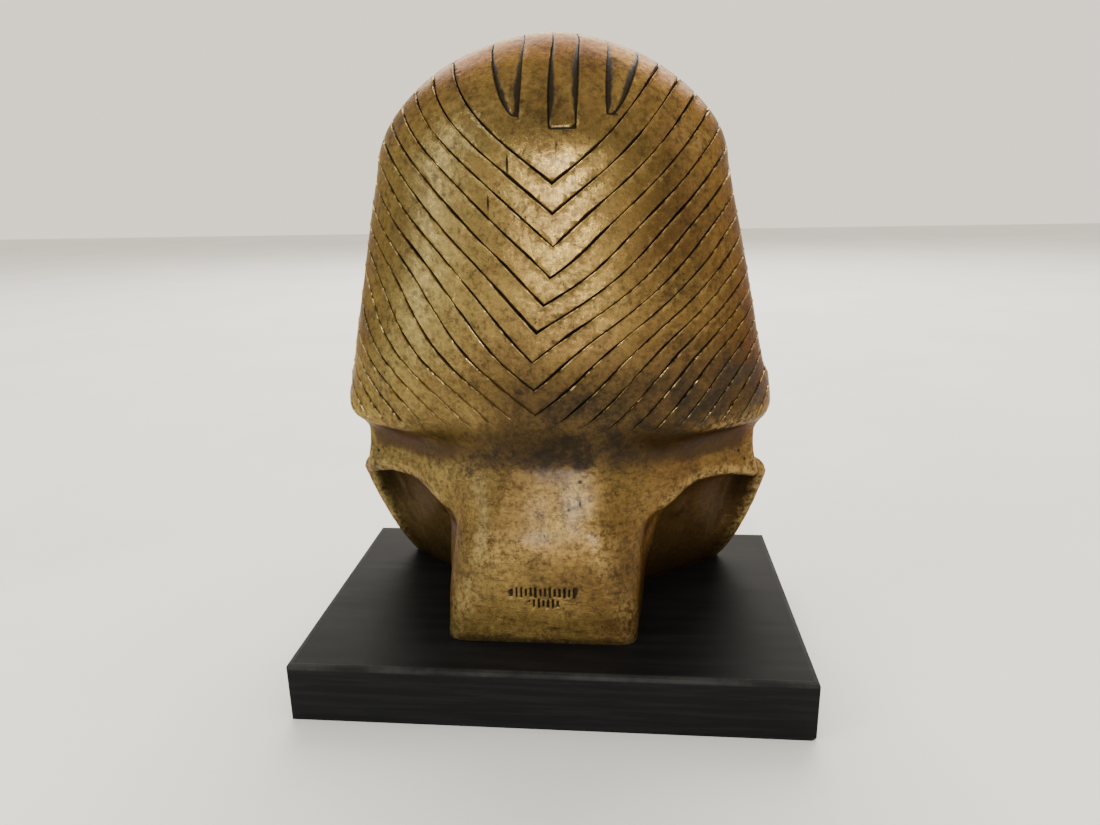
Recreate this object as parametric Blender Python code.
# Pharaoh bust on a wooden plinth.
#
# The bust is one casting: striped head cloth, head, shoulders and the blocky tail of hair
# cloth behind, with a scooped recess on each side of the tail. It is shaped as a sculptor
# would build it up in clay: each form is a distance function, the functions are blended,
# and the surface where the blend is zero is meshed. The stripes are then scored along
# their own lines and pressed in. The plinth is a board with a small chamfer.
#
# The figure's forms are laid out in squares, as on a sculptor's grid: x across, y towards
# the back, z up from its foot. A form with a place and a size is ((x, y, z), (radii)), and
# a rod is (start, end, start radius, end radius).
#
# World: metres, +Z up, origin at the middle of the plinth's underside, face towards -Y.

import math

import bpy
import bmesh
import numpy as np

# Driving sizes, in metres
FIGURE_HEIGHT = 0.2907
PLINTH_WIDTH = 0.254
PLINTH_DEPTH = 0.163
PLINTH_HEIGHT = 0.0305
PLINTH_CHAMFER = 0.0019
SEAT_GAP = 0.0003
TAIL_TO_PLINTH_EDGE = 0.0255
CLAY_CELL = 0.0027
GROOVE_DEPTH = 0.0013
FIGURE_FACES = 9300

# The figure's proportions are counted in squares, and its height is this many of them
FIGURE_SQUARES = 290.7

# Head cloth: a flared bell with a flat front below the face and a domed crown
CLOTH_HEM = 103.5
CLOTH_HEM_ROUND = 11.0
CLOTH_SPRING = 231.0
CLOTH_CROWN = FIGURE_SQUARES - CLOTH_SPRING
CLOTH_MIDLINE = -4.0
CLOTH_HALF_WIDTH = 111.6
CLOTH_WIDTH_LEVEL = 112.0
CLOTH_TAPER = 0.219
CLOTH_BACK = 58.5
CLOTH_BACK_TUCK = 9.0
CLOTH_TUCK_LEVELS = (150.0, 104.0)
CLOTH_FRONT = 26.0
CLOTH_BROW_REACH = 36.0
CLOTH_BROW_LEVELS = (165.0, 228.0)
CLOTH_PLAN_POWER = 2.15
CLOTH_CROWN_POWER = 1.77

# Opening of the cloth for the face, with a raised brow band along its top
FACE_ARCH_HALF = 54.0
FACE_ARCH_PINCH = 8.0
FACE_ARCH_PINCH_LEVELS = (190.0, 120.0)
FACE_ARCH_TOP = 224.0
FACE_ARCH_ROUND = 26.0
FACE_ARCH_DEPTH = -30.0
FACE_ARCH_SAG = 0.0016
FACE_ARCH_EDGES = (4.0, 1.5)
BAND_WIDTH = 9.0
BAND_PROUD = 2.2
BAND_EDGE = 3.0
BAND_LEVELS = (196.0, 208.0)
BAND_DEPTHS = (0.0, -12.0)

# Shoulders and chest
SHOULDER_HALF = 96.0
SHOULDER_SPREAD = 22.5
SHOULDER_LEVEL = 68.0
SHOULDER_CURVE = 1.7
SHOULDER_TOP = 88.0
SHOULDER_FALL = (0.12, 0.35)
SHOULDER_FALL_START = -20.0
SHOULDER_EDGES = (14.0, 9.0, 7.0, 11.0)
SHOULDER_SLANT = 51.0
CHEST_FRONT = 74.0
CHEST_RAKE = 8.0 / 75.0
CHEST_ROUND = 480.0
CHEST_BACK = 33.0

# Neck core between cloth and shoulders
NECK_CORE_HALF = 116.0
NECK_CORE_SLANT = 56.0
NECK_CORE_BACK = 36.0
NECK_CORE_FRONT = 25.0
NECK_CORE_LEVELS = (66.0, 118.0)
NECK_CORE_ROUND = 12.0
NECK_CORE_BLEND = 16.0
HEM_BLEND = (5.0, 17.0)
HEM_BLEND_DEPTHS = (-26.0, 0.0)

# Tail block behind, with its upright edges cut off at a slant
TAIL_BACK = 56.0
TAIL_LEAN = 21.0
TAIL_LEAN_LEVELS = (42.0, 104.0)
TAIL_FOOT_ROUND = 18.0
TAIL_HALF = 48.5
TAIL_NARROWING = 0.07
TAIL_SPREAD = 0.14
TAIL_TOP = 120.0
TAIL_DRIFT = 4.5
TAIL_DRIFT_LEVEL = 80.0
TAIL_CHAMFER = (4.0, 14.0)
TAIL_CHAMFER_LEVEL = 50.0
TAIL_EDGES = (4.0, 5.0)
TAIL_INSIDE = -20.0
TAIL_BLEND = (5.0, 18.0)
TAIL_BLEND_LEVELS = (30.0, 80.0)

# Scoop cut out of the shoulders on each side of the tail: an arch seen from behind, and a
# dished wall that leans back as it climbs
BACK_SLANT = math.radians(36.9)
SCOOP_INNER = 51.0
SCOOP_LEAN = 0.08
SCOOP_DRIFT = 5.0
SCOOP_DRIFT_LEVELS = (58.0, 20.0)
SCOOP_TOP = 72.0
SCOOP_CREST = 80.0
SCOOP_BOW = 0.009
SCOOP_CORNER = 20.0
SCOOP_FOOT = 18.0
SCOOP_REACH = 34.0
SCOOP_CURVE = 0.75
SCOOP_DIP = 26.0
SCOOP_BORDER = (2.0, 22.0)
SCOOP_EDGES = (4.0, 4.5)

# Head, with the face laid out by the usual thirds and fifths
SKULL = ((0.0, -8.0, 200.0), (51.0, 56.0, 76.0))
JAW = ((0.0, -26.0, 146.0), (40.0, 38.0, 34.0))
CHIN = ((0.0, -57.0, 120.0), (14.0, 11.0, 10.0))
CHEEK = ((27.0, -44.0, 167.0), (20.0, 18.0, 23.0))
NECK = ((0.0, -20.0), (37.0, 34.0))
EYE_SOCKET = ((21.0, -66.0, 198.5), (14.5, 7.5, 9.0))
EYE_BALL = ((21.0, -50.0, 198.0), (12.5, 10.2, 8.5))
EYE_LEVEL = 198.0
EYE_TILT = 0.05
EYE_APART = 21.0
EYE_HALF = 12.5
EYE_OPEN = 5.8
LID_PROUD = 1.3
LID_EDGES = (-0.9, 0.5, 3.2, 1.4)
BROW_SHELF = ((18.0, -53.0, 211.5), (21.0, 8.4, 4.5))
BROW_LEVEL = 211.5
BROW_ARC = 0.012
BROW_PROUD = 1.2
BROW_HALF = 1.7
BROW_REACH = 17.5
BROW_EDGES = (1.6, -0.4)
BROW_FADE = (20.0, 12.0)
MOUTH_HALF = 18.5
UPPER_LIP = ((0.0, -61.5, 149.4), (18.5, 8.4, 3.8))
LOWER_LIP = ((0.0, -61.0, 142.2), (15.5, 8.2, 4.4))
LIP_BOW = 0.5
MOUTH_CORNER = ((19.5, -62.0, 146.0), (2.6, 4.0, 2.4))
NOSE = ((0.0, -62.0, 203.0), (0.0, -74.8, 166.0), 4.6, 6.4)
NOSE_WING = ((7.2, -69.3, 164.0), (5.2, 6.5, 4.8))
NOSTRIL = ((4.2, -70.3, 159.0), (1.9, 3.4, 2.4))
NECK_LEVELS = (60.0, 150.0)
FACE_DEPTHS = (-30.0, -45.0)
FACE_FILLET = 2.5
FACE_SEAM = 1.2
EAR = ((54.5, -40.0, 183.0), (6.5, 10.0, 21.0))
EAR_BOWL = ((58.5, -49.0, 187.0), (6.0, 5.5, 12.0))
EAR_FOLD = ((55.5, -44.0, 177.0), (55.5, -45.5, 195.0), 1.6, 1.2)
EAR_FILLETS = (2.0, 1.0)

# Cobra on the brow, false beard, lappets and broad collar
COBRA_BODY = ((0.0, -67.0, 217.0), (0.0, -70.0, 237.0), 4.5, 5.0)
COBRA_HOOD = ((0.0, -71.0, 239.0), (8.5, 4.6, 14.0))
COBRA_HEAD = ((0.0, -70.0, 250.0), (0.0, -76.0, 252.0), 4.2, 3.6)
COBRA_BACK = ((0.0, -60.0, 248.0), (0.0, -34.0, 278.0), 5.5, 5.0)
COBRA_FILLETS = (3.0, 4.0)
COBRA_SEAM = 1.5
BEARD_FOOT = ((0.0, -72.0, 66.0), 9.0)
BEARD_ROOT = ((0.0, -66.0, 116.0), 8.0)
BEARD_END = 58.0
BEARD_WEB = ((0.0, -58.0, 86.0), (6.5, 20.0, 27.0))
BEARD_EDGES = (2.0, 3.0)
LAPPET_MIDDLE = 50.0
LAPPET_HALF = 18.0
LAPPET_FOOT = 44.0
LAPPET_PROUD = 5.0
LAPPET_START = 20.0
LAPPET_BEND_LEVELS = (132.0, 84.0)
LAPPET_ROOT = (-14.0, 140.0)
LAPPET_EDGE = 2.5
LAPPET_FILLET = 4.0
COLLAR_CENTRE = 106.0
COLLAR_REACH = 84.0
COLLAR_PROUD = 1.6
COLLAR_EDGE = 3.0

# Stripes of the cloth: chevrons that meet down the middle of the back
STRIPE_START = 221.0
STRIPE_PITCH = 12.9
STRIPE_SLOPE = 0.80
STRIPE_CURVE = 0.003
STRIPE_CROWN_LEVEL = 240.0
STRIPE_CROWN_BEND = 0.008
STRIPE_SHOULDERS = (0.055, 0.105)
STRIPE_WAVER = ((0.9, 0.052, 0.021), (0.7, -0.03, 0.11))
STRIPE_DRIFT = (-5.0, 5.5)
STRIPE_DRIFT_LEVELS = (195.0, 141.0)
FAN_CENTRE = (-24.0, 205.0)
FAN_DEPTHS = (4.0, -14.0)
FAN_LEVELS = (250.0, 205.0)
FAN_NEAREST = 20.0
LAPPET_PITCH = 7.5
LAPPET_SHARE = 0.09
COLLAR_PITCH = 11.0
COLLAR_SHARE = 0.08
FRONT_DEPTH = 0.6

# Crown carving: a squared tab between two wedges
TAB_HALF = 6.0
TAB_END = 244.5
TAB_SHIFT = -9.5
TAB_SHIFT_DEPTHS = (-40.0, 20.0)
WEDGE_INNER = 18.8
WEDGE_OUTER = 33.5
WEDGE_LEVELS = (249.0, 280.0)
CROWN_GROOVE = 1.6
CROWN_SHARE = 0.16
CROWN_DEPTH = 0.7
CROWN_FRONT = (-48.0, -40.0)
GROOVE_CLEAR = (0.5, 2.5)
GROOVE_HEM = (3.0, 9.0)

BRONZE = (0.36, 0.25, 0.105)
BLACK_WOOD = (0.012, 0.012, 0.013)


def ramp(start, end, value):
    """Smooth change from 0 at start to 1 at end."""
    t = np.clip((value - start) / (end - start), 0.0, 1.0)
    return t * t * (3.0 - 2.0 * t)


def join(a, b, radius):
    """Union of two forms with a fillet of this radius."""
    u = np.maximum(radius - a, 0.0)
    v = np.maximum(radius - b, 0.0)
    return np.maximum(radius, np.minimum(a, b)) - np.sqrt(u * u + v * v)


def meet(a, b, radius):
    """Overlap of two forms with a rounded edge of this radius."""
    return -join(-a, -b, radius)


def ellipsoid(x, y, z, centre, radii):
    px, py, pz = x - centre[0], y - centre[1], z - centre[2]
    near = np.sqrt((px / radii[0]) ** 2 + (py / radii[1]) ** 2 + (pz / radii[2]) ** 2)
    slope = np.sqrt((px / radii[0] ** 2) ** 2 + (py / radii[1] ** 2) ** 2 + (pz / radii[2] ** 2) ** 2)
    return near * (near - 1.0) / (slope + 1e-9)


def rod(x, y, z, start, end, start_radius, end_radius):
    """Tapered round rod with ball ends."""
    along = np.subtract(end, start)
    px, py, pz = x - start[0], y - start[1], z - start[2]
    t = (px * along[0] + py * along[1] + pz * along[2]) / float(along @ along)
    t = np.clip(t, 0.0, 1.0)
    away = np.sqrt((px - t * along[0]) ** 2 + (py - t * along[1]) ** 2 + (pz - t * along[2]) ** 2)
    return away - (start_radius + t * (end_radius - start_radius))


def oval_wall(u, v, half_u, half_v, power):
    """Distance to an upright oval wall of the given half sizes."""
    share = (np.abs(u / half_u) ** power + np.abs(v / half_v) ** power) ** (1.0 / power) + 1e-9
    return np.hypot(u, v) * (1.0 - 1.0 / share)


def cloth_half_width(z):
    return CLOTH_HALF_WIDTH - CLOTH_TAPER * (np.clip(z, CLOTH_HEM, CLOTH_SPRING) - CLOTH_WIDTH_LEVEL)


def face_arch(x, z):
    """Outline of the face opening, negative inside."""
    half = FACE_ARCH_HALF - FACE_ARCH_PINCH * ramp(*FACE_ARCH_PINCH_LEVELS, z)
    return meet(np.abs(x) - half, z - FACE_ARCH_TOP + FACE_ARCH_SAG * x * x, FACE_ARCH_ROUND)


def cloth_bell(x, y, z):
    half = cloth_half_width(z)
    back = CLOTH_BACK - CLOTH_BACK_TUCK * ramp(*CLOTH_TUCK_LEVELS, z)
    front = CLOTH_FRONT + CLOTH_BROW_REACH * ramp(*CLOTH_BROW_LEVELS, z)
    v = y - CLOTH_MIDLINE
    depth = np.where(v > 0.0, back, front)
    plan = (np.abs(x / half) ** CLOTH_PLAN_POWER + np.abs(v / depth) ** CLOTH_PLAN_POWER)
    rise = np.maximum(z - CLOTH_SPRING, 0.0)
    share = (plan ** (CLOTH_CROWN_POWER / CLOTH_PLAN_POWER)
             + (rise / CLOTH_CROWN) ** CLOTH_CROWN_POWER) ** (1.0 / CLOTH_CROWN_POWER) + 1e-9
    reach = np.sqrt(x * x + v * v + rise * rise)
    return meet(reach * (1.0 - 1.0 / share), CLOTH_HEM - z, CLOTH_HEM_ROUND)


def head_cloth(x, y, z):
    """Striped cloth with the face opening cut and the brow band raised."""
    arch = face_arch(x, z)
    band = ramp(BAND_WIDTH + BAND_EDGE, BAND_WIDTH, arch) * ramp(*BAND_LEVELS, z) * ramp(*BAND_DEPTHS, y)
    inner, rim = FACE_ARCH_EDGES
    opening = meet(arch, y - FACE_ARCH_DEPTH, inner)
    return meet(cloth_bell(x, y, z) - BAND_PROUD * band, -opening, rim)


def slant(x, y):
    """Distance along the level line that the back of each shoulder faces."""
    return np.abs(x) * math.sin(BACK_SLANT) + y * math.cos(BACK_SLANT)


def neck_core(x, y, z):
    ahead = np.minimum(y - CLOTH_MIDLINE, 0.0)
    wall = oval_wall(x, ahead, NECK_CORE_HALF, NECK_CORE_FRONT, CLOTH_PLAN_POWER)
    wall = meet(wall, slant(x, y) - NECK_CORE_SLANT, NECK_CORE_ROUND)
    wall = meet(wall, y - NECK_CORE_BACK, NECK_CORE_ROUND)
    low, high = NECK_CORE_LEVELS
    return np.maximum(wall, np.maximum(z - high, low - z))


def tail_side(x, y):
    return np.abs(x) - TAIL_HALF - TAIL_SPREAD * (TAIL_BACK - y)


def tail_block(x, y, z):
    face = y - TAIL_BACK + TAIL_LEAN * ramp(*TAIL_LEAN_LEVELS, z) + ramp(TAIL_FOOT_ROUND, 0.0, z)
    drift = TAIL_DRIFT * ramp(TAIL_DRIFT_LEVEL, 0.0, z)
    side = tail_side(x - drift, y) + TAIL_NARROWING * z
    foot, upper = TAIL_CHAMFER
    chamfer = foot + (upper - foot) * ramp(0.0, TAIL_CHAMFER_LEVEL, z)
    corner, edge = TAIL_EDGES
    block = meet(meet(face, side, corner), (face + side + chamfer) / math.sqrt(2.0), edge)
    return np.maximum(np.maximum(block, TAIL_INSIDE - y), z - TAIL_TOP)


def chest_front(x, z):
    """How far the chest stands forward of the middle plane."""
    return CHEST_FRONT - CHEST_RAKE * np.clip(z, 0.0, SHOULDER_TOP) - x * x / CHEST_ROUND


def shoulder_side(x, z):
    rise = np.clip(z, 0.0, SHOULDER_LEVEL) / SHOULDER_LEVEL
    return np.abs(x) - SHOULDER_HALF - SHOULDER_SPREAD * (1.0 - (1.0 - rise) ** SHOULDER_CURVE)


def chest(x, y, z):
    """Shoulders and chest as one block, with the collar raised in front."""
    radius = np.sqrt(x * x + (z - COLLAR_CENTRE) ** 2)
    front = -y - chest_front(x, z) - COLLAR_PROUD * ramp(COLLAR_REACH + COLLAR_EDGE, COLLAR_REACH, radius)
    outward, forward = SHOULDER_FALL
    fall = outward * np.abs(x) + forward * np.maximum(SHOULDER_FALL_START - y, 0.0)
    spine, breast, rear, top = SHOULDER_EDGES
    back = meet(slant(x, y) - SHOULDER_SLANT, y - CHEST_BACK, spine)
    block = meet(meet(shoulder_side(x, z), front, breast), back, rear)
    return meet(block, z - SHOULDER_TOP + fall, top)


def scoops(x, y, z):
    """The space cut away on each side of the tail."""
    top = SCOOP_TOP - SCOOP_BOW * (np.abs(x) - SCOOP_CREST) ** 2
    inner = SCOOP_INNER + SCOOP_LEAN * z - np.abs(x - SCOOP_DRIFT * ramp(*SCOOP_DRIFT_LEVELS, z))
    climb = np.clip(z / SCOOP_TOP, 0.0, 1.0)
    dip = SCOOP_DIP * climb * np.sqrt(1.0 - climb * climb) * ramp(*SCOOP_BORDER, -shoulder_side(x, z))
    wall = SCOOP_FOOT + SCOOP_REACH * climb ** SCOOP_CURVE - dip - slant(x, y)
    return meet(meet(inner, z - top, SCOOP_CORNER), wall, SCOOP_EDGES[0])


def lappets(x, y, z):
    """Ends of the cloth that hang over the chest in front."""
    ax = np.abs(x)
    hang = ramp(*LAPPET_BEND_LEVELS, z)
    reach = LAPPET_START + (chest_front(ax, z) + LAPPET_PROUD - LAPPET_START) * hang
    side = np.abs(ax - LAPPET_MIDDLE) - LAPPET_HALF
    slab = meet(meet(-y - reach, side, LAPPET_EDGE), LAPPET_FOOT - z, LAPPET_EDGE)
    rear, top = LAPPET_ROOT
    return np.maximum(slab, np.maximum(y - rear, z - top))


def false_beard(x, y, z):
    edge, seam = BEARD_EDGES
    front = meet(rod(x, y, z, BEARD_FOOT[0], BEARD_ROOT[0], BEARD_FOOT[1], BEARD_ROOT[1]), BEARD_END - z, edge)
    middle, half = BEARD_WEB
    web = meet(np.abs(x) - half[0], np.abs(z - middle[2]) - half[2], edge)
    return join(front, meet(web, np.abs(y - middle[1]) - half[1], edge), seam)


def cobra(x, y, z):
    """Raised cobra on the brow: body, spread hood and head."""
    fillet, root = COBRA_FILLETS
    raised = join(rod(x, y, z, *COBRA_BODY), ellipsoid(x, y, z, *COBRA_HOOD), fillet)
    raised = join(raised, rod(x, y, z, *COBRA_HEAD), fillet)
    return join(raised, rod(x, y, z, *COBRA_BACK), root)


def ears(x, y, z):
    ax = np.abs(x)
    shell = ellipsoid(ax, y, z, *EAR)
    shell = meet(shell, -ellipsoid(ax, y, z, *EAR_BOWL), EAR_FILLETS[0])
    return join(shell, rod(ax, y, z, *EAR_FOLD), EAR_FILLETS[1])


def eye_edge(x, z):
    """Distance outside the almond outline of the eye, negative inside."""
    across = np.abs(x) - EYE_APART
    lid = EYE_OPEN * (1.0 - (across / EYE_HALF) ** 2)
    steep = np.sqrt(1.0 + (2.0 * EYE_OPEN * across / EYE_HALF ** 2) ** 2)
    return (np.abs(z - EYE_LEVEL - EYE_TILT * across) - lid) / steep


def brow_edge(x, z):
    """Distance outside the raised line of the brow."""
    across = np.abs(x) - EYE_APART
    arc = BROW_LEVEL - BROW_ARC * across ** 2
    line = np.abs(z - arc) - BROW_HALF * ramp(*BROW_FADE, np.abs(across))
    return np.maximum(line, np.abs(across) - BROW_REACH)


def head(x, y, z):
    """Each feature with the radius of the fillet that joins it to the rest."""
    ax = np.abs(x)
    throat = oval_wall(x, y - NECK[0][1], NECK[1][0], NECK[1][1], 2.0)
    throat = np.maximum(throat, np.maximum(NECK_LEVELS[0] - z, z - NECK_LEVELS[1]))
    form = join(ellipsoid(x, y, z, *SKULL), ellipsoid(x, y, z, *JAW), 22.0)
    form = join(form, ellipsoid(ax, y, z, *CHEEK), 10.0)
    form = join(form, ellipsoid(x, y, z, *CHIN), 9.0)
    form = join(form, throat, 6.0)
    form = meet(form, -ellipsoid(ax, y, z, *EYE_SOCKET), 6.0)
    form = join(form, ellipsoid(ax, y, z, *BROW_SHELF), 4.0)
    nose = join(rod(x, y, z, *NOSE), ellipsoid(ax, y, z, *NOSE_WING), 2.5)
    form = join(form, nose, 4.0)
    form = join(form, ellipsoid(ax, y, z, *EYE_BALL), 1.2)
    edge = eye_edge(x, z)
    lid = ramp(*LID_EDGES[:2], edge) * ramp(*LID_EDGES[2:], edge)
    raised = LID_PROUD * lid + BROW_PROUD * ramp(*BROW_EDGES, brow_edge(x, z))
    form = form - raised * ramp(*FACE_DEPTHS, y)
    upper = ellipsoid(x, y, z - LIP_BOW * np.cos(ax / MOUTH_HALF * math.pi), *UPPER_LIP)
    lips = join(upper, ellipsoid(x, y, z, *LOWER_LIP), 0.8)
    form = join(form, lips, 2.2)
    form = meet(form, -ellipsoid(ax, y, z, *MOUTH_CORNER), 4.0)
    return meet(form, -ellipsoid(ax, y, z, *NOSTRIL), 1.0)


def figure(x, y, z):
    """The whole casting, negative inside."""
    body = join(neck_core(x, y, z), chest(x, y, z), NECK_CORE_BLEND)
    tight, wide = TAIL_BLEND
    body = join(body, tail_block(x, y, z), tight + (wide - tight) * ramp(*TAIL_BLEND_LEVELS, z))
    body = meet(body, -scoops(x, y, z), SCOOP_EDGES[1])
    front, behind = HEM_BLEND
    form = join(head_cloth(x, y, z), body, front + (behind - front) * ramp(*HEM_BLEND_DEPTHS, y))
    form = join(form, lappets(x, y, z), LAPPET_FILLET)
    face = join(head(x, y, z), ears(x, y, z), FACE_FILLET)
    face = join(face, false_beard(x, y, z), FACE_FILLET)
    form = join(form, face, FACE_SEAM)
    return join(form, cobra(x, y, z), COBRA_SEAM)


def close_slits(value):
    """Fill gaps thinner than a cell, so that the surface never touches itself."""
    filled = True
    while filled:
        filled = False
        for u, v in ((0, 1), (0, 2), (1, 2)):
            def corner(du, dv):
                place = [slice(None)] * 3
                place[u] = slice(du, value.shape[u] - 1 + du)
                place[v] = slice(dv, value.shape[v] - 1 + dv)
                return value[tuple(place)]
            a, b, c, d = corner(0, 0), corner(1, 0), corner(0, 1), corner(1, 1)
            for p, q, r, s in ((a, d, b, c), (b, c, a, d)):
                pinched = (p < 0.0) & (q < 0.0) & (r >= 0.0) & (s >= 0.0)
                if pinched.any():
                    r[pinched] = -0.2
                    filled = True


def surface_net(form, low, high, cell):
    """Mesh the zero surface of a form: one point in each cell that it crosses."""
    counts = [int(math.ceil((high[i] - low[i]) / cell)) + 1 for i in range(3)]
    axes = [low[i] + cell * np.arange(counts[i]) for i in range(3)]
    value = np.empty(counts)
    for i in range(counts[0]):
        yy, zz = np.meshgrid(axes[1], axes[2], indexing="ij")
        value[i] = form(np.full_like(yy, axes[0][i]), yy, zz)
    close_slits(value)
    inside = value < 0.0
    shape = tuple(n - 1 for n in counts)
    total = np.zeros(shape + (3,))
    hits = np.zeros(shape)
    for axis in range(3):
        for step_u in (0, 1):
            for step_v in (0, 1):
                near = [slice(0, n) for n in shape]
                others = [a for a in range(3) if a != axis]
                near[others[0]] = slice(step_u, step_u + shape[others[0]])
                near[others[1]] = slice(step_v, step_v + shape[others[1]])
                far = list(near)
                far[axis] = slice(1, shape[axis] + 1)
                a, b = value[tuple(near)], value[tuple(far)]
                crossed = (a < 0.0) != (b < 0.0)
                share = np.where(crossed, a / np.where(crossed, a - b, 1.0), 0.0)
                total[..., axis] += share
                total[..., others[0]] += step_u * crossed
                total[..., others[1]] += step_v * crossed
                hits += crossed
    used = hits > 0
    index = np.full(shape, -1)
    index[used] = np.arange(int(used.sum()))
    corner = np.stack(np.nonzero(used), -1)
    points = np.array(low) + cell * (corner + total[used] / hits[used][:, None])
    quads = []
    for axis in range(3):
        u, v = [a for a in range(3) if a != axis]
        first = [slice(1, n) for n in shape]
        first[axis] = slice(0, shape[axis])
        here = inside[tuple(slice(s.start, s.stop) for s in first)]
        after = [slice(s.start, s.stop) for s in first]
        after[axis] = slice(1, shape[axis] + 1)
        there = inside[tuple(after)]
        cells = np.stack(np.nonzero(here != there), -1) + [s.start for s in first]
        outward = inside[tuple(cells.T)]
        ring = []
        for du, dv in ((-1, -1), (0, -1), (0, 0), (-1, 0)):
            at = cells.copy()
            at[:, u] += du
            at[:, v] += dv
            ring.append(index[tuple(at.T)])
        ring = np.stack(ring, -1)
        flip = outward if axis != 1 else ~outward
        ring[~flip] = ring[~flip][:, ::-1]
        quads.append(ring)
    quads = np.concatenate(quads)
    return points, quads


def gradient(form, points, step=0.05):
    slopes = np.empty_like(points)
    for axis in range(3):
        shift = np.zeros(3)
        shift[axis] = step
        ahead = form(*(points + shift).T)
        behind = form(*(points - shift).T)
        slopes[:, axis] = (ahead - behind) / (2.0 * step)
    return slopes


def settle(form, points, cell):
    """Move points onto the zero surface, no further than part of a cell."""
    for _ in range(3):
        slopes = gradient(form, points)
        steep = np.maximum((slopes ** 2).sum(1), 0.25)
        move = slopes * (form(*points.T) / steep)[:, None]
        length = np.linalg.norm(move, axis=1)
        limit = 0.35 * cell
        move *= np.minimum(1.0, limit / np.maximum(length, 1e-9))[:, None]
        points = points - move
    return points


def split_quads(points, quads):
    """Two triangles from each quad, along its shorter diagonal."""
    a, b, c, d = (points[quads[:, i]] for i in range(4))
    short = ((a - c) ** 2).sum(1) <= ((b - d) ** 2).sum(1)
    one = np.concatenate([quads[short][:, [0, 1, 2]], quads[short][:, [0, 2, 3]]])
    two = np.concatenate([quads[~short][:, [0, 1, 3]], quads[~short][:, [1, 2, 3]]])
    return np.concatenate([one, two])


def score(points, tris, value, marks=()):
    """Cut the triangles along every whole-number line of value; NaN is left alone.

    Each array in marks is carried over to the new points."""
    bins = np.floor(value)
    edges = np.sort(np.concatenate([tris[:, [0, 1]], tris[:, [1, 2]], tris[:, [2, 0]]]), axis=1)
    edges, which = np.unique(edges, axis=0, return_inverse=True)
    which = which.reshape(3, -1).T
    a, b = edges.T
    with np.errstate(invalid="ignore"):
        crossed = np.isfinite(value[a]) & np.isfinite(value[b]) & (np.abs(bins[a] - bins[b]) == 1.0)
    a, b = a[crossed], b[crossed]
    share = (np.maximum(bins[a], bins[b]) - value[a]) / (value[b] - value[a])
    keep = (share > 0.02) & (share < 0.98)
    crossed[np.nonzero(crossed)[0][~keep]] = False
    a, b, share = a[keep], b[keep], share[keep]
    fresh = points[a] + share[:, None] * (points[b] - points[a])
    number = np.full(len(edges), -1)
    number[crossed] = len(points) + np.arange(len(fresh))
    cut = number[which]
    count = (cut >= 0).sum(1)
    out = [tris[count == 0]]
    for turn in range(3):
        order = [turn, (turn + 1) % 3, (turn + 2) % 3]
        v, e = tris[:, order], cut[:, order]
        one = (count == 1) & (e[:, 1] >= 0)
        out.append(np.stack([v[one, 0], v[one, 1], e[one, 1]], -1))
        out.append(np.stack([v[one, 0], e[one, 1], v[one, 2]], -1))
        two = (count == 2) & (e[:, 1] < 0)
        out.append(np.stack([v[two, 0], e[two, 0], e[two, 2]], -1))
        out.append(np.stack([e[two, 0], v[two, 1], v[two, 2]], -1))
        out.append(np.stack([e[two, 0], v[two, 2], e[two, 2]], -1))
    three = count == 3
    v, e = tris[three], cut[three]
    for i in range(3):
        out.append(np.stack([v[:, i], e[:, i], e[:, i - 1]], -1))
    out.append(e)
    marks = [np.concatenate([m, m[a] + share * (m[b] - m[a])]) for m in marks]
    return np.concatenate([points, fresh]), np.concatenate(out), marks


def back_middle(z):
    """The carver's middle line drifts a little from side to side down the back."""
    upper, lower = STRIPE_DRIFT
    return upper + (lower - upper) * ramp(*STRIPE_DRIFT_LEVELS, z)


def crown_middle(y):
    return TAB_SHIFT * ramp(*TAB_SHIFT_DEPTHS, y)


def chevrons(x, z, middle):
    away = np.abs(x - middle)
    bent = z - STRIPE_CROWN_BEND * np.maximum(z - STRIPE_CROWN_LEVEL, 0.0) ** 2
    waver = sum(size * np.sin(across * x + up * z) for size, across, up in STRIPE_WAVER)
    return (bent + waver - STRIPE_SLOPE * away - STRIPE_CURVE * away ** 2 - STRIPE_START) / STRIPE_PITCH


def cloth_stripes(x, y, z):
    """Stripe number: chevrons behind and over the crown, a fan beside the face."""
    ax = np.abs(x)
    reach = cloth_half_width(z)
    spread = (reach - FAN_CENTRE[0]) / np.maximum(ax - FAN_CENTRE[0], FAN_NEAREST)
    fan_level = FAN_CENTRE[1] + (z - FAN_CENTRE[1]) * spread
    fan = chevrons(reach, fan_level, 0.0)
    front = ramp(*FAN_DEPTHS, y) * ramp(*FAN_LEVELS, z)
    return chevrons(x, z, back_middle(z)) * (1.0 - front) + fan * front


def on_cloth(x, y, z):
    """1 on the cloth's own surface, fading to 0 at its edges and on other forms."""
    own = ramp(2.0, 0.6, head_cloth(x, y, z))
    others = np.minimum(cobra(x, y, z), np.minimum(head(x, y, z), ears(x, y, z)))
    clear = ramp(*GROOVE_CLEAR, others)
    inside = np.where(y < 0.0, ramp(*GROOVE_CLEAR, face_arch(x, z) - BAND_WIDTH * ramp(*BAND_LEVELS, z)), 1.0)
    return own * clear * inside * ramp(*GROOVE_HEM, z - CLOTH_HEM)


def stripe_lines(x, y, z):
    value = cloth_stripes(x, y, z)
    return value, on_cloth(x, y, z) * (value < 0.5)


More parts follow.
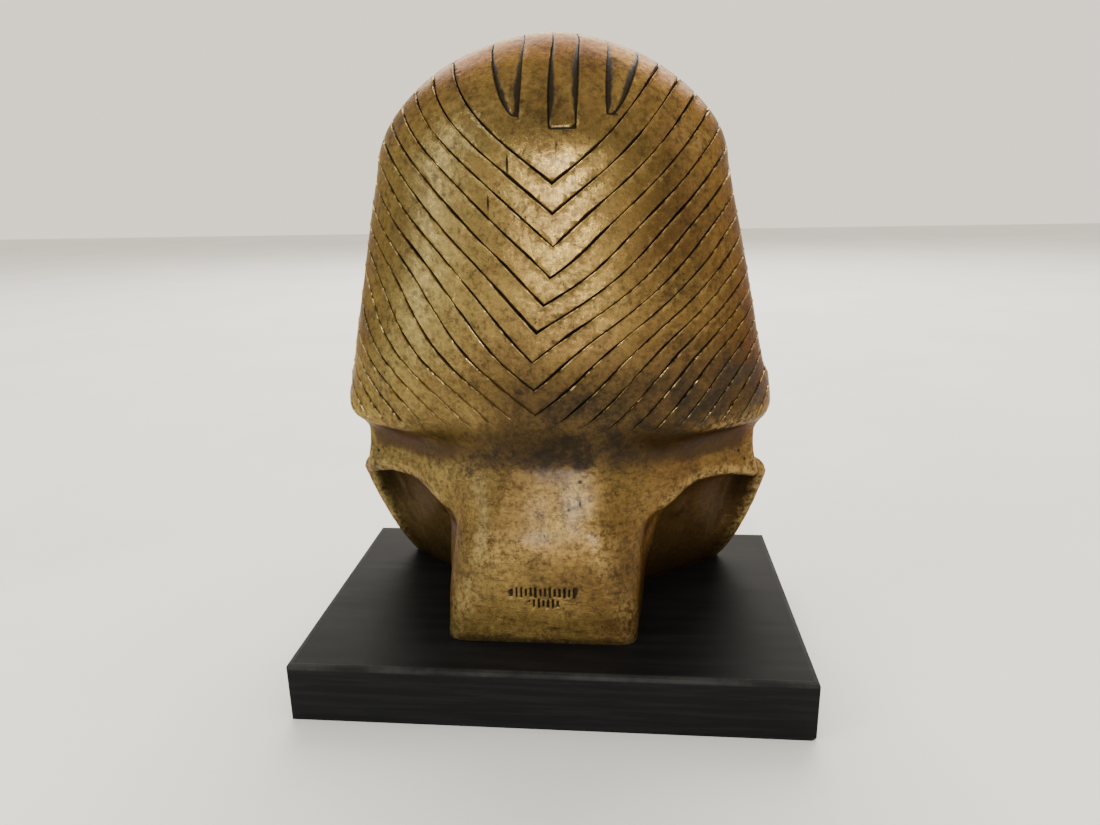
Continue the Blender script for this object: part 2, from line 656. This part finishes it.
def tab_lines(x, y, z):
    """Squared tab on the crown, running forward to the cobra."""
    edge = np.maximum(np.abs(x - crown_middle(y)) - TAB_HALF, np.where(y > CLOTH_MIDLINE, TAB_END - z, -9.0))
    value = edge / (CROWN_GROOVE / CROWN_SHARE)
    return value, on_cloth(x, y, z) * (np.abs(value) < 0.45) * ramp(*CROWN_FRONT, y)


def wedge_lines(x, y, z):
    """Pointed wedge on each side of the tab."""
    ax = np.abs(x - crown_middle(y))
    low, high = WEDGE_LEVELS
    open_share = np.sqrt(np.clip((z - low) / (high - low), 0.0, 1.0))
    outer = WEDGE_INNER + (WEDGE_OUTER - WEDGE_INNER) * open_share
    edge = np.maximum(WEDGE_INNER - ax, ax - outer)
    value = edge / (CROWN_GROOVE / CROWN_SHARE)
    return value, on_cloth(x, y, z) * (np.abs(value) < 0.45) * (z > low - CROWN_GROOVE)


def lappet_lines(x, y, z):
    own = ramp(1.0, 0.4, lappets(x, y, z)) * ramp(1.0, 2.5, head(x, y, z))
    return z / LAPPET_PITCH, own * (z > LAPPET_FOOT + 3.0) * (z < 104.0) * (y < -30.0)


def collar_lines(x, y, z):
    radius = np.sqrt(x * x + (z - COLLAR_CENTRE) ** 2)
    others = np.minimum(lappets(x, y, z), np.minimum(false_beard(x, y, z), head(x, y, z)))
    own = ramp(1.0, 0.4, chest(x, y, z)) * ramp(0.5, 1.5, others) * (radius < COLLAR_REACH - 2.0)
    return radius / COLLAR_PITCH, own * (y < -40.0) * (z < 86.0)


def carve(points, tris, lines, shoulders, depth):
    """Score grooves along the whole-number lines and press their bottoms in."""
    before, after = shoulders
    value, strength = lines(*points.T)
    for offset in (-before, 0.0, after):
        shifted = np.where(strength > 0.0, value - offset, np.nan)
        points, tris, (value, strength) = score(points, tris, shifted, (value, strength))
    off = value - np.round(value)
    share = np.where(off < 0.0, 1.0 + off / before, 1.0 - off / after)
    press = depth * np.clip(share, 0.0, 1.0) * strength
    low = press > 0.0
    slopes = gradient(figure, points[low], 0.4)
    slopes /= np.maximum(np.linalg.norm(slopes, axis=1), 1e-6)[:, None]
    points = points.copy()
    points[low] -= press[low][:, None] * slopes
    return points, tris


def square():
    return FIGURE_HEIGHT / FIGURE_SQUARES


def figure_mesh():
    """Points in squares and triangles of the carved figure."""
    cell = CLAY_CELL / square()
    low = (-123.0 - cell * 0.5, -92.0, -2.5 * cell)
    high = (125.0, 66.0, FIGURE_SQUARES + 2.0 * cell)
    points, quads = surface_net(figure, low, high, cell)
    points = settle(figure, points, cell)
    tris = split_quads(points, quads)
    depth = GROOVE_DEPTH / square()
    points, tris, _ = score(points, tris, points[:, 2] / (4.0 * cell))
    tris = tris[points[tris].mean(1)[:, 2] > 0.0]
    middle = (points[:, 0] - back_middle(points[:, 2])) / 50.0
    points, tris, _ = score(points, tris, middle)
    crown = (CROWN_SHARE, CROWN_SHARE)
    sets = (
        (stripe_lines, STRIPE_SHOULDERS, depth),
        (tab_lines, crown, CROWN_DEPTH * depth),
        (wedge_lines, crown, CROWN_DEPTH * depth),
        (lappet_lines, (LAPPET_SHARE, LAPPET_SHARE), FRONT_DEPTH * depth),
        (collar_lines, (COLLAR_SHARE, COLLAR_SHARE), FRONT_DEPTH * depth),
    )
    for lines, shoulders, deep in sets:
        points, tris = carve(points, tris, lines, shoulders, deep)
    return points, tris


def make_material(name, colour, roughness, metallic):
    material = bpy.data.materials.new(name)
    material.use_nodes = True
    shader = material.node_tree.nodes["Principled BSDF"]
    shader.inputs["Base Color"].default_value = (*colour, 1.0)
    shader.inputs["Roughness"].default_value = roughness
    shader.inputs["Metallic"].default_value = metallic
    return material


def add_object(name, mesh, material):
    thing = bpy.data.objects.new(name, mesh)
    bpy.context.scene.collection.objects.link(thing)
    mesh.materials.append(material)
    return thing


def build_figure():
    points, tris = figure_mesh()
    foot_back = PLINTH_DEPTH / 2.0 - TAIL_TO_PLINTH_EDGE
    scale = square()
    places = points * scale
    places[:, 1] += foot_back - TAIL_BACK * scale
    places[:, 2] += PLINTH_HEIGHT + SEAT_GAP
    mesh = bpy.data.meshes.new("pharaoh_bust")
    shell = bmesh.new()
    corners = [shell.verts.new(place) for place in np.round(places, 5).tolist()]
    for a, b, c in tris.tolist():
        shell.faces.new((corners[a], corners[b], corners[c]))
    bmesh.ops.delete(shell, geom=[v for v in shell.verts if not v.link_faces], context="VERTS")
    rim = [e for e in shell.edges if e.is_boundary]
    foot = bmesh.ops.contextual_create(shell, geom=rim)["faces"]
    bmesh.ops.triangulate(shell, faces=foot)
    bmesh.ops.recalc_face_normals(shell, faces=shell.faces)
    shell.to_mesh(mesh)
    shell.free()
    bust = add_object("pharaoh_bust", mesh, make_material("antique_bronze", BRONZE, 0.38, 0.85))
    thin = bust.modifiers.new("fewer faces", "DECIMATE")
    thin.ratio = FIGURE_FACES / len(mesh.polygons)
    mesh.shade_smooth()
    mesh.set_sharp_from_angle(angle=math.radians(40.0))
    return bust


def build_plinth():
    mesh = bpy.data.meshes.new("plinth")
    board = bmesh.new()
    bmesh.ops.create_cube(board, size=1.0)
    bmesh.ops.scale(board, vec=(PLINTH_WIDTH, PLINTH_DEPTH, PLINTH_HEIGHT), verts=board.verts)
    bmesh.ops.translate(board, vec=(0.0, 0.0, PLINTH_HEIGHT / 2.0), verts=board.verts)
    top = [e for e in board.edges if all(v.co.z > PLINTH_HEIGHT / 2.0 for v in e.verts)]
    bmesh.ops.bevel(board, geom=top, offset=PLINTH_CHAMFER, offset_type="OFFSET", segments=1,
                    profile=0.5, affect="EDGES")
    board.to_mesh(mesh)
    board.free()
    return add_object("plinth", mesh, make_material("black_painted_wood", BLACK_WOOD, 0.45, 0.0))


def main():
    for thing in list(bpy.data.objects):
        bpy.data.objects.remove(thing, do_unlink=True)
    build_plinth()
    build_figure()


main()
